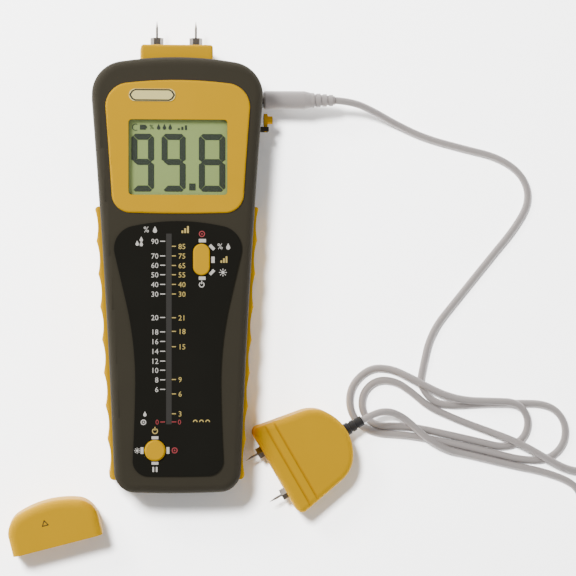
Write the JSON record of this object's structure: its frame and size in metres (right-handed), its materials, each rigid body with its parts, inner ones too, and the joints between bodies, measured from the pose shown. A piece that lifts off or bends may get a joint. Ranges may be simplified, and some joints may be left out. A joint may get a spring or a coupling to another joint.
{
  "type": "moisture meter",
  "caption": "Hand-held pin moisture meter with display, bar scale, remote pin probe on a lead and loose pin cap.",
  "frame": {"origin": "middle of the meter's flat back face, on which it lies", "axes": "+Z out of the display, +Y towards the meter's pins, +X towards the probe socket"},
  "size_m": [0.2712, 0.2268, 0.0349],
  "materials": {
    "shell": "dark warm grey, fine matt texture",
    "yellow": "yellow moulded plastic, satin",
    "grip": "yellow soft rubber",
    "panel": "black printed overlay, satin",
    "bar": "smoked strip",
    "lens": "clear window",
    "lcd": "grey-green display glass",
    "badge": "pale blank badge",
    "light": "white light guide",
    "board": "green board",
    "chip": "black",
    "white_plastic": "white",
    "steel": "plain steel",
    "dark_steel": "darkened steel",
    "brass": "turned",
    "battery": "plain wrap",
    "black_rubber": "soft black",
    "lead": "warm grey soft lead",
    "foam": "dark foam"
  },
  "bodies": {
    "meter": {"front_shell": "shell", "back_shell": "shell", "case_screws": "steel", "grip_left": "grip", "grip_right": "grip", "display_bezel": "yellow", "display_lens": "lens", "name_plate": "badge", "lcd_glass": "lcd", "lcd_backlight": "light", "lcd_holder": "white_plastic", "zebra_strips": "black_rubber", "control_panel": "panel", "bar_window": "bar", "bar_leds": "white_plastic", "main_board": "board", "board_chips": "chip", "board_screws": "steel", "tact_switches": "chip", "beeper": "chip", "battery_9v": "battery", "battery_terminals": "steel", "battery_snap": "chip", "battery_leads": "black_rubber", "pin_block": "yellow", "pin_inserts": "brass", "pin_nuts": "dark_steel", "needle_left": "steel", "needle_right": "steel", "jack_socket": "chip", "dust_bracket": "shell"},
    "power_button": {"power_button": "yellow"},
    "mode_button": {"mode_button": "yellow"},
    "battery_door": {"battery_door": "shell", "battery_foam": "foam"},
    "dust_plug": {"dust_plug": "grip"},
    "probe_lead": {"plug_contact": "steel", "plug_body": "lead", "plug_relief": "lead", "lead_run": "lead", "lead_hank": "lead", "lead_tail": "lead", "probe_top_shell": "yellow", "probe_bottom_shell": "yellow", "probe_inserts": "brass", "probe_nuts": "dark_steel", "probe_needle_left": "steel", "probe_needle_right": "steel", "probe_screws": "steel", "probe_wires": "black_rubber", "probe_relief": "black_rubber"},
    "pin_cap": {"pin_cap": "yellow"}
  },
  "joints": [
    {"name": "power_press", "type": "slide", "parent": "meter", "child": "power_button", "axis": [0, 0, -1], "range_m": [0, 0.0007], "stiffness_N_per_m": 600},
    {"name": "mode_press", "type": "slide", "parent": "meter", "child": "mode_button", "axis": [0, 0, -1], "range_m": [0, 0.0007], "stiffness_N_per_m": 600},
    {"name": "door_slide", "type": "slide", "parent": "meter", "child": "battery_door", "axis": [0, -1, 0], "range_m": [0, 0.06]},
    {"name": "dust_plug_swing", "type": "hinge", "parent": "meter", "child": "dust_plug", "pos_m": [0.0381, 0.0622, 0.016], "axis": [0, 0, 1], "range_deg": [-80, 0]},
    {"name": "probe_unplug", "type": "slide", "parent": "meter", "child": "probe_lead", "axis": [1, 0, 0], "range_m": [0, 0.022]},
    {"name": "cap_lift", "type": "slide", "parent": "meter", "child": "pin_cap", "axis": [0, 0, 1], "range_m": [0, 0.05]}
  ]
}
